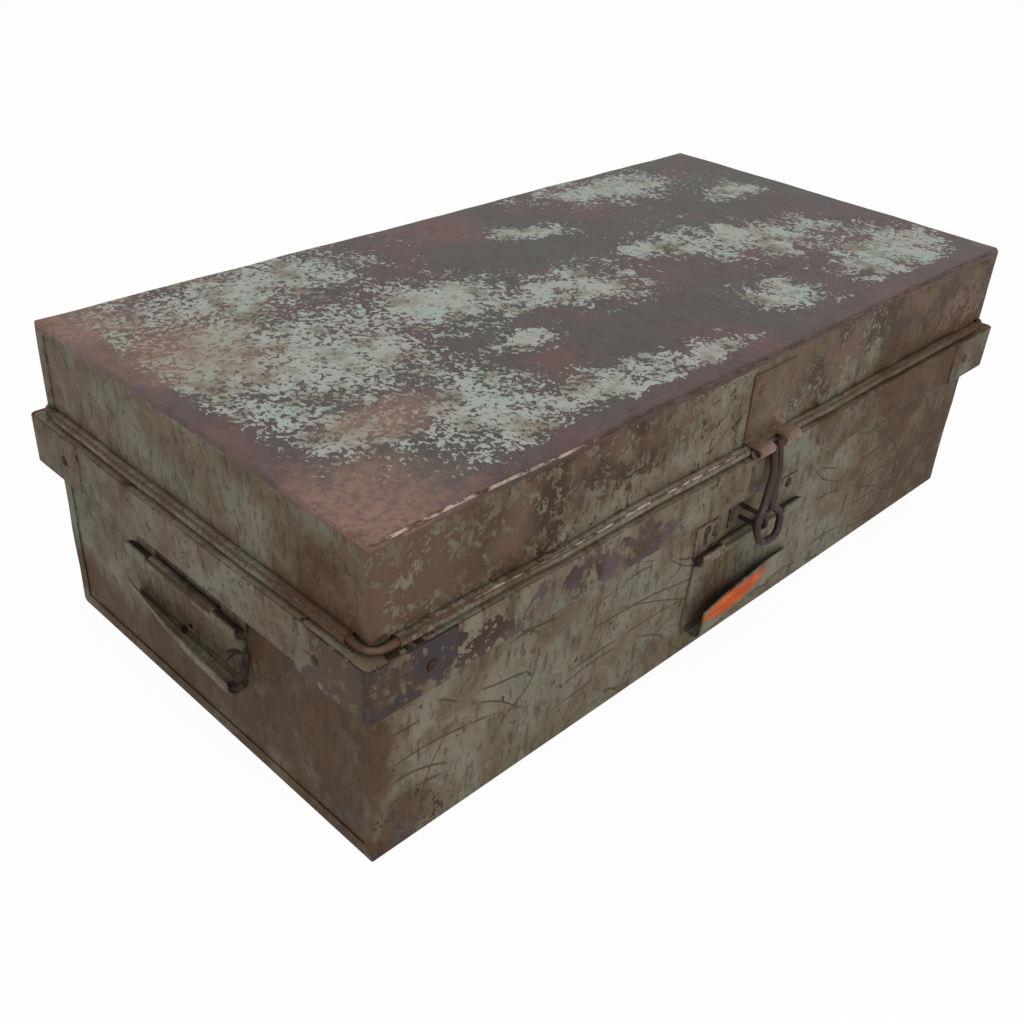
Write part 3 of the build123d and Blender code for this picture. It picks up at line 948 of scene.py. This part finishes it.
@dataclass(frozen=True)
class SheetMaker:
    """Makes worn copies of packed sheets.

    Attributes:
        wear: What moves the copies' points; sheets that share it still touch where they touched.
        grid: Spacing of the copies' points in metres.
        fold: Largest angle, in degrees, that is shaded smooth.
        flat: Largest angle, in degrees, between triangles of one face.
        snap: How near to a cut a point counts as on it, in metres.
        slant: How far a face turns from the axes before it is rubbed in full.
        core: A point in the middle of the space inside.
    """

    wear: Waves | GripBend
    grid: float = 9 * MM
    fold: float = 40.0
    flat: float = 0.6
    snap: float = 0.02 * MM
    slant: float = 0.25
    core: Triple = (0.0, 0.0, 70 * MM)

    def copy(self, node: str) -> bpy.types.Object:
        """Make the worn copy of one node and let it replace the node.

        Args:
            node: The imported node.

        Returns:
            The new piece, which rides on the node's body.
        """
        source = frame["nodes"][node]
        mesh = bmesh.new()
        mesh.from_mesh(source.data)
        bmesh.ops.remove_doubles(mesh, verts=mesh.verts[:], dist=MERGE)
        flat = radians(self.flat)
        bmesh.ops.dissolve_limit(mesh, angle_limit=flat, verts=mesh.verts[:], edges=mesh.edges[:])
        self._cut(mesh, node)
        bmesh.ops.triangulate(mesh, faces=mesh.faces[:])
        mesh.normal_update()
        self._mark(mesh)
        for vertex in mesh.verts:
            vertex.co += self.wear.shift(vertex.co)
        data = bpy.data.meshes.new("worn_" + node)
        mesh.to_mesh(data)
        mesh.free()
        data.set_sharp_from_angle(angle=radians(self.fold))
        piece = bpy.data.objects.new("worn_" + node, data)
        bpy.context.scene.collection.objects.link(piece)
        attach(piece, source["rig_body"])
        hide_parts(node)
        return piece

    def _cut(self, mesh: bmesh.types.BMesh, node: str) -> None:
        """Cut the faces along a grid of planes.

        Args:
            mesh: The sheet's mesh.
            node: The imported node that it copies.
        """
        low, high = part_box(node)
        for axis in range(3):
            normal = Vector((0, 0, 0))
            normal[axis] = 1
            count = int((high[axis] - low[axis]) / self.grid)
            for k in range(1, count):
                point = normal * (low[axis] + (high[axis] - low[axis]) * k / count)
                geometry = mesh.verts[:] + mesh.edges[:] + mesh.faces[:]
                bmesh.ops.bisect_plane(mesh, geom=geometry, dist=self.snap, plane_co=point, plane_no=normal)

    def _mark(self, mesh: bmesh.types.BMesh) -> None:
        """Note which faces look into the box, and how far each lies on a bend that is open to rubbing.

        Args:
            mesh: The sheet's mesh.
        """
        core = Vector(self.core)
        inside = mesh.faces.layers.float.new("inside")
        rub = mesh.faces.layers.float.new("rub")
        for face in mesh.faces:
            reach = face.calc_center_median() - core
            axis = max(range(3), key=lambda k: abs(face.normal[k]))
            face[inside] = 1.0 if face.normal[axis] * reach[axis] < 0 else 0.0
            face[rub] = min((1 - abs(face.normal[axis])) / self.slant, 1.0)
            face.smooth = True


@dataclass(frozen=True)
class RivetSet:
    """Hammered rivets of one body, set by a tree of Geometry Nodes.

    Attributes:
        name: Name of the piece.
        nodes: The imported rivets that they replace.
        finish: Finish of the rivets.
        head: Radius of the heads in metres.
        height: Height of the heads in metres.
        shank: Radius of the shanks in metres.
        grip: Thickness of the riveted sheets in metres.
        hammering: Depth of the hammer's marks in metres.
        mark: Width of the hammer's marks in metres.
        sides: Number of sides of a head.
        shank_sides: Number of sides of a shank.
        tail: Size of the tail as shares of the head.
        spread: Smallest and largest size of a rivet.
        seed: Which sizes are drawn.
    """

    name: str
    nodes: tuple[str, ...]
    finish: Finish = Finish.RIVET
    head: float = 3.6 * MM
    height: float = 1.5 * MM
    shank: float = 1.8 * MM
    grip: float = 2.1 * MM
    hammering: float = 0.5 * MM
    mark: float = 1 / 300
    sides: int = 20
    shank_sides: int = 16
    tail: Triple = (0.8, 0.8, 0.55)
    spread: tuple[float, float] = (0.93, 1.05)
    seed: int = 7

    def seats(self) -> list[tuple[Vector, Vector]]:
        """Place and outward direction of each head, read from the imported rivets.

        Returns:
            A place and a direction for each rivet, sorted by place.
        """
        found = []
        for node in self.nodes:
            mesh = bmesh.new()
            mesh.from_mesh(frame["nodes"][node].data)
            bmesh.ops.remove_doubles(mesh, verts=mesh.verts[:], dist=MERGE)
            left = set(mesh.verts)
            while left:
                island = self._island(left)
                spans = [(min(v.co[k] for v in island), max(v.co[k] for v in island)) for k in range(3)]
                k = min(range(3), key=lambda axis: spans[axis][1] - spans[axis][0])
                place = Vector([(low + high) / 2 for low, high in spans])
                out = Vector((0, 0, 0))
                out[k] = 1.0 if place[k] > 0 else -1.0
                place[k] = (spans[k][1] - self.height) if out[k] > 0 else (spans[k][0] + self.height)
                found.append((place, out))
            mesh.free()
        return sorted(found, key=lambda seat: tuple(seat[0]))

    @staticmethod
    def _island(left: set[bmesh.types.BMVert]) -> list[bmesh.types.BMVert]:
        """Take one connected set of points out of those that are left.

        Args:
            left: The points that are left.

        Returns:
            The points of one rivet.
        """
        queue = [left.pop()]
        island = []
        while queue:
            vertex = queue.pop()
            island.append(vertex)
            for edge in vertex.link_edges:
                other = edge.other_vert(vertex)
                if other in left:
                    left.remove(other)
                    queue.append(other)
        return island

    def tree(self) -> bpy.types.NodeTree:
        """The tree that sets, turns and hammers the rivets.

        Returns:
            The tree, with a named input for each size.
        """
        tree = bpy.data.node_groups.new(self.name + "_tree", "GeometryNodeTree")
        sockets = {"Seats": "Geometry", "Head": "Float", "Height": "Float", "Shank": "Float", "Grip": "Float",
                   "Hammering": "Float", "Finish": "Material"}
        for name, kind in sockets.items():
            tree.interface.new_socket(name, in_out="INPUT", socket_type="NodeSocket" + kind)
        tree.interface.new_socket("Rivets", in_out="OUTPUT", socket_type="NodeSocketGeometry")
        g = Graph(tree)
        given = {socket.name: Signal(g, socket) for socket in tree.nodes.new("NodeGroupInput").outputs}
        axis = g.node("GeometryNodeInputNamedAttribute", {"data_type": "FLOAT_VECTOR"}, {"Name": "axis"})
        turn = g.node("FunctionNodeAlignRotationToVector", {"axis": "Z"}, {"Vector": axis})
        smallest, largest = self.spread
        sizes = {2: smallest, 3: largest, 8: self.seed}
        size = g.node("FunctionNodeRandomValue", {"data_type": "FLOAT"}, sizes, 1)
        rivet = self._rivet(g, given)
        copies = {"Points": given["Seats"], "Instance": rivet, "Rotation": turn, "Scale": size}
        placed = g.node("GeometryNodeInstanceOnPoints", {}, copies)
        solid = g.node("GeometryNodeRealizeInstances", {}, {"Geometry": placed})
        marks = g.node("ShaderNodeTexNoise", {}, {"Scale": 1 / self.mark, "Detail": 1.0}, "Color")
        centred = g.node("ShaderNodeVectorMath", {"operation": "SUBTRACT"}, {0: marks, 1: (0.5, 0.5, 0.5)})
        depth = {0: centred, "Scale": given["Hammering"]}
        blow = g.node("ShaderNodeVectorMath", {"operation": "SCALE"}, depth)
        beaten = g.node("GeometryNodeSetPosition", {}, {"Geometry": solid, "Offset": blow})
        dressed = g.node("GeometryNodeSetMaterial", {}, {"Geometry": beaten, "Material": given["Finish"]})
        g.node("NodeGroupOutput", {}, {"Rivets": dressed})
        return tree

    def _rivet(self, g: Graph, given: Mapping[str, Signal]) -> Signal:
        """One rivet at the origin: a domed head, a shank and a flatter tail.

        Args:
            g: The tree's graph.
            given: The tree's inputs by name.

        Returns:
            The rivet's mesh.
        """
        rounds = {"Segments": self.sides, "Rings": self.sides // 2, "Radius": 1.0}
        ball = g.node("GeometryNodeMeshUVSphere", {}, rounds)
        place = g.node("GeometryNodeInputPosition", {}, {})
        x, y, z = [g.node("ShaderNodeSeparateXYZ", {}, {0: place}, axis) for axis in "XYZ"]
        cap = {"X": x * given["Head"], "Y": y * given["Head"], "Z": z.most(0.0) * given["Height"]}
        domed = g.node("ShaderNodeCombineXYZ", {}, cap)
        dome = g.node("GeometryNodeSetPosition", {}, {"Geometry": ball, "Position": domed})
        middle = g.node("ShaderNodeCombineXYZ", {}, {"Z": given["Grip"] * -0.5})
        bottom = g.node("ShaderNodeCombineXYZ", {}, {"Z": given["Grip"] * -1})
        rod = {"Vertices": self.shank_sides, "Radius": given["Shank"], "Depth": given["Grip"]}
        bar = g.node("GeometryNodeMeshCylinder", {}, rod)
        shank = g.node("GeometryNodeTransform", {}, {"Geometry": bar, "Translation": middle})
        upside_down = (radians(180), 0, 0)
        upset = {"Geometry": dome, "Translation": bottom, "Rotation": upside_down, "Scale": self.tail}
        tail = g.node("GeometryNodeTransform", {}, upset)
        return g.node("GeometryNodeJoinGeometry", {}, {"Geometry": [dome, shank, tail]})

    def build(self) -> None:
        """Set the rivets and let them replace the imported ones."""
        seats = self.seats()
        points = bpy.data.meshes.new(self.name + "_seats")
        points.from_pydata([place for place, _ in seats], [], [])
        axes = points.attributes.new("axis", "FLOAT_VECTOR", "POINT")
        axes.data.foreach_set("vector", [part for _, out in seats for part in out])
        holder = bpy.data.objects.new(self.name + "_seats", points)
        bpy.context.scene.collection.objects.link(holder)
        modifier = holder.modifiers.new("rivets", "NODES")
        tree = self.tree()
        modifier.node_group = tree
        values = {"Head": self.head, "Height": self.height, "Shank": self.shank, "Grip": self.grip,
                  "Hammering": self.hammering, "Finish": material_of(self.finish)}
        for item in tree.interface.items_tree:
            if item.name in values:
                modifier[item.identifier] = values[item.name]
        ready = holder.evaluated_get(bpy.context.evaluated_depsgraph_get())
        data = bpy.data.meshes.new_from_object(ready)
        data.name = self.name
        data.shade_smooth()
        bpy.data.objects.remove(holder)
        piece = bpy.data.objects.new(self.name, data)
        bpy.context.scene.collection.objects.link(piece)
        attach(piece, frame["nodes"][self.nodes[0]]["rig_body"])
        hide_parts(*self.nodes)
        for node in self.nodes:
            dress(frame["nodes"][node], self.finish)
        log.info("%s: %d rivets", self.name, len(seats))


@dataclass(frozen=True)
class TornCurl:
    """The end of a grip's sheet that has torn loose and curled over.

    Attributes:
        node: The grip that it belongs to.
        depth: Half of its depth out of the wall, in metres.
        rise: Half of its height in metres.
        below: How far its middle lies under the top of the grip, in metres.
        width: Its width along the grip in metres.
        sheet: Thickness of the sheet in metres.
        start: Angle of its upper end in degrees, from straight out.
        end: Angle of its lower end in degrees.
        steps: Number of flats in it.
        fold: Largest angle, in degrees, that is shaded smooth.
    """

    node: str
    depth: float = 9.6 * MM
    rise: float = 11.6 * MM
    below: float = 24.6 * MM
    width: float = 5 * MM
    sheet: float = 1.2 * MM
    start: float = 62.0
    end: float = 285.0
    steps: int = 22
    fold: float = 40.0

    def build(self) -> None:
        """Bend the strip and let it ride on the grip."""
        low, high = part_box(self.node)
        centre = Vector((high.x - self.sheet - self.depth, low.y, high.z - self.below))
        mesh = bmesh.new()
        rings = []
        for k in range(self.steps + 1):
            angle = radians(self.start + (self.end - self.start) * k / self.steps)
            out = Vector((-cos(angle) * self.depth, 0, sin(angle) * self.rise))
            inner = centre + out * (1 - self.sheet / self.depth)
            along = Vector((0, self.width, 0))
            corners = (centre + out, centre + out + along, inner + along, inner)
            rings.append([mesh.verts.new(corner) for corner in corners])
        for first, second in zip(rings, rings[1:]):
            for k in range(4):
                after = (k + 1) % 4
                mesh.faces.new((first[k], first[after], second[after], second[k]))
        mesh.faces.new(rings[0][::-1])
        mesh.faces.new(rings[-1])
        bmesh.ops.recalc_face_normals(mesh, faces=mesh.faces[:])
        data = bpy.data.meshes.new("torn_curl")
        mesh.to_mesh(data)
        mesh.free()
        data.shade_smooth()
        data.set_sharp_from_angle(angle=radians(self.fold))
        piece = bpy.data.objects.new("torn_curl", data)
        bpy.context.scene.collection.objects.link(piece)
        # The strip takes the dark wire steel as painted shade, for the shadow in the gap behind its curl.
        dress(piece, Finish.WIRE)
        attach(piece, frame["nodes"][self.node]["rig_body"])
        log.info("%s: %d flats", piece.name, self.steps)


@dataclass(frozen=True)
class SubAssembly:
    """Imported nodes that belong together, and how they are dressed.

    Attributes:
        maker: Makes the worn copies of its sheets.
    """

    maker: SheetMaker

    def plain(self, finish: Finish, *nodes: str) -> None:
        """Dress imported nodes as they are.

        Args:
            finish: Their finish.
            nodes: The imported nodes.
        """
        for node in nodes:
            dress(frame["nodes"][node], finish)
            log.info("%s: %s", node, finish.value.name)

    def worn(self, finish: Finish, *nodes: str) -> None:
        """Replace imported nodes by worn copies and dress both.

        Args:
            finish: Their finish.
            nodes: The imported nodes.
        """
        self.plain(finish, *nodes)
        for node in nodes:
            piece = self.maker.copy(node)
            dress(piece, finish)
            log.info("%s: %d faces", piece.name, len(piece.data.polygons))

    def build(self) -> None:
        """Build and dress the sub-assembly."""
        raise NotImplementedError


class Body(SubAssembly):
    """The folded body with the ledges and the upstand inside it."""

    def build(self) -> None:
        """Build and dress the body."""
        self.worn(Finish.BODY, "body_wrapper", "body_left_end", "body_right_end")
        self.plain(Finish.INSIDE, "tray_ledge_left", "tray_ledge_right")
        self.plain(Finish.INSIDE, *[f"rim_upstand_{side}" for side in SIDES])


class Collar(SubAssembly):
    """The collar under the lid, its corner straps, the hinge straps and the staple."""

    def build(self) -> None:
        """Build and dress the collar."""
        self.worn(Finish.COLLAR, *[f"rim_band_{side}" for side in SIDES])
        corners = [f"corner_strap_{end}_{side}" for end in ("front", "back") for side in ("left", "right")]
        self.worn(Finish.STRAP, *corners)
        self.plain(Finish.STRAP, *[f"hinge_strap_{place}" for place in ("left", "middle", "right")])
        self.plain(Finish.STRAP, "staple_plate")
        self.plain(Finish.WIRE, "staple")


class Lid(SubAssembly):
    """The folded lid, its edge wire and the hasp with its strap."""

    def build(self) -> None:
        """Build and dress the lid."""
        self.worn(Finish.LID, "lid_wrapper", "lid_left_end", "lid_right_end")
        self.plain(Finish.HASP_STRAP, "hasp_strap")
        self.plain(Finish.EDGE_WIRE, "lid_edge_wire")
        self.plain(Finish.WIRE, "hasp")


class Tray(SubAssembly):
    """The lift-out tray with its plates."""

    def build(self) -> None:
        """Dress the tray."""
        self.plain(Finish.TRAY, "tray_pan", "tray_partition", "tray_cross_front", "tray_cross_back")


@dataclass(frozen=True)
class Handle(SubAssembly):
    """One drop handle.

    Attributes:
        side: The wall that it hangs on.
        finish: Finish of its grip.
    """

    side: str
    finish: Finish

    def build(self) -> None:
        """Build and dress the handle."""
        self.worn(self.finish, f"{self.side}_handle_flap")
        self.plain(Finish.WIRE, f"{self.side}_handle_pin")
        self.plain(Finish.CLIP, f"{self.side}_handle_clip_a", f"{self.side}_handle_clip_b")


@dataclass(frozen=True)
class Lamp:
    """A soft lamp that points at the box.

    Attributes:
        name: Its name.
        place: Where it hangs, in metres.
        size: Width of its face in metres.
        power: Its power in watts.
        aim: What it points at, in metres.
    """

    name: str
    place: Triple
    size: float
    power: float
    aim: Triple = (0.0, 0.0, 0.1)

    def build(self) -> None:
        """Hang the lamp."""
        data = bpy.data.lights.new(self.name, "AREA")
        data.size = self.size
        data.energy = self.power
        lamp = bpy.data.objects.new(self.name, data)
        turn = (Vector(self.aim) - Vector(self.place)).to_track_quat("-Z", "Y")
        lamp.matrix_world = Matrix.Translation(self.place) @ turn.to_matrix().to_4x4()
        bpy.context.scene.collection.objects.link(lamp)


@dataclass(frozen=True)
class Studio:
    """Camera, light and floor.

    Attributes:
        eye: Place of the camera in metres.
        forward: Direction it looks in.
        right: Direction that lies to its right.
        lens: Focal length in millimetres.
        film: Width of the film in millimetres.
        lamps: The lamps.
        level: Strength of the plain light from all round.
        floor_size: Width of the floor in metres.
        glow: Share of the floor's white that doesn't take the shadow.
    """

    eye: Triple = (-0.5667, -0.4797, 0.4909)
    forward: Triple = (0.61748, 0.57315, -0.53872)
    right: Triple = (0.70444, -0.70766, 0.05456)
    lens: float = 40.88
    film: float = 36.0
    lamps: tuple[Lamp, ...] = (
        Lamp("overhead", (0.0, 0.3, 2.0), 1.8, 10.0),
        Lamp("window", (-0.5, -1.75, 1.2), 1.0, 13.5),
        Lamp("left_fill", (-1.7, -0.3, 1.2), 1.2, 3.0),
    )
    level: float = 0.5
    floor_size: float = 12.0
    glow: float = 0.96

    def camera(self) -> None:
        """Put the camera where the photographer stood."""
        data = bpy.data.cameras.new("camera")
        data.lens = self.lens
        data.sensor_width = self.film
        data.sensor_fit = "HORIZONTAL"
        data.clip_start = 0.02
        camera = bpy.data.objects.new("camera", data)
        back = -Vector(self.forward).normalized()
        right = Vector(self.right)
        right = (right - back * right.dot(back)).normalized()
        turn = Matrix((right, back.cross(right), back)).transposed()
        camera.matrix_world = Matrix.Translation(self.eye) @ turn.to_4x4()
        bpy.context.scene.collection.objects.link(camera)
        bpy.context.scene.camera = camera

    def seen(self, graph: Graph) -> Signal:
        """1 for the eye and for what metal mirrors, 0 for the light that falls on the object.

        Args:
            graph: The graph of the world or of the floor.

        Returns:
            The share.
        """
        names = ("Is Camera Ray", "Is Glossy Ray", "Is Transmission Ray")
        camera, glossy, clear = [graph.node("ShaderNodeLightPath", {}, {}, name) for name in names]
        return camera.most(glossy).most(clear)

    def world(self) -> None:
        """White for the eye and its reflections, and a plain level of light for the rest."""
        world = bpy.data.worlds.new("studio")
        world.use_nodes = True
        world.node_tree.nodes.clear()
        graph = Graph(world.node_tree)
        strength = self.seen(graph) * (1 - self.level) + self.level
        light = graph.node("ShaderNodeBackground", {}, {"Color": (1, 1, 1, 1), "Strength": strength})
        graph.node("ShaderNodeOutputWorld", {}, {"Surface": light})
        bpy.context.scene.world = world

    def floor(self) -> None:
        """Lay the pale floor, part of which glows for the eye so that it is white."""
        mesh = bpy.data.meshes.new("floor")
        half = self.floor_size / 2
        corners = [(-half, -half, 0), (half, -half, 0), (half, half, 0), (-half, half, 0)]
        mesh.from_pydata(corners, [], [(0, 1, 2, 3)])
        floor = bpy.data.objects.new("floor", mesh)
        bpy.context.scene.collection.objects.link(floor)
        material = bpy.data.materials.new("floor_white")
        material.use_nodes = True
        material.node_tree.nodes.clear()
        graph = Graph(material.node_tree)
        matt = graph.node("ShaderNodeBsdfDiffuse", {}, {"Color": (0.9, 0.9, 0.9, 1)})
        white = graph.node("ShaderNodeEmission", {}, {"Color": (1, 1, 1, 1), "Strength": 1.0})
        surface = graph.node("ShaderNodeMixShader", {}, {0: self.seen(graph) * self.glow, 1: matt, 2: white})
        graph.node("ShaderNodeOutputMaterial", {}, {"Surface": surface})
        mesh.materials.append(material)

    def build(self) -> None:
        """Set up everything that isn't the object."""
        bpy.context.scene.view_settings.view_transform = "Standard"
        self.camera()
        for lamp in self.lamps:
            lamp.build()
        self.world()
        self.floor()


def calm_boxes() -> tuple[Calm, ...]:
    """Boxes round what moves or fits, and the underside that stands on the floor.

    Returns:
        The boxes.
    """
    low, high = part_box("body_wrapper")
    foot = Calm(tuple(low), (high.x, high.y, low.z + 2 * MM))
    back = Calm.around("rim_band_back", "hinge_strap_middle")
    hasp = Calm.around("hasp", "hasp_strap", "staple", "staple_plate")
    grips = [Calm.around(f"{side}_handle_flap", f"{side}_handle_pin") for side in ("front", "left", "right")]
    return (foot, back, hasp, *grips)


def grip_bends() -> dict[str, GripBend]:
    """How each grip is bent: the front one flattened at its right, the left one crushed at its back.

    Returns:
        The bend of each grip, by its side.
    """
    front, left, right = [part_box(f"{side}_handle_flap") for side in ("front", "left", "right")]
    return {
        "front": GripBend(Vector((0, -1, 0)), (0.0, 0.2, 0.8), (0.0, 5 * MM, -4 * MM), *front),
        "left": GripBend(Vector((-1, 0, 0)), (-0.05, 0.2, 0.6), (0.0, -1 * MM, 4 * MM), *left),
        "right": GripBend(Vector((1, 0, 0)), (0.1, 0.1, 0.0), (0.0, 0.0, 0.0), *right),
    }


def main() -> None:
    """Dress the box."""
    logging.basicConfig(level=logging.INFO, format="%(name)s: %(message)s")
    noise.seed_set(WAVE_SEED)
    Studio().build()
    waves = SheetMaker(Waves(calm=calm_boxes()))
    parts: list[SubAssembly | RivetSet | TornCurl] = [Body(waves), Collar(waves), Lid(waves), Tray(waves)]
    grips = {"front": Finish.FRONT_GRIP, "left": Finish.LEFT_GRIP, "right": Finish.GRIP}
    for side, bend in grip_bends().items():
        parts.append(Handle(SheetMaker(bend, grid=5 * MM), side, grips[side]))
    clip_rivets = [f"{side}_handle_rivets" for side in grips]
    parts.append(RivetSet("box_rivets", ("corner_strap_rivets", "hinge_rivets", *clip_rivets)))
    parts.append(RivetSet("lid_rivets", ("hasp_strap_rivets",), Finish.HASP_STRAP))
    parts.append(TornCurl("left_handle_flap"))
    for part in parts:
        part.build()


if __name__ == "__main__":
    main()
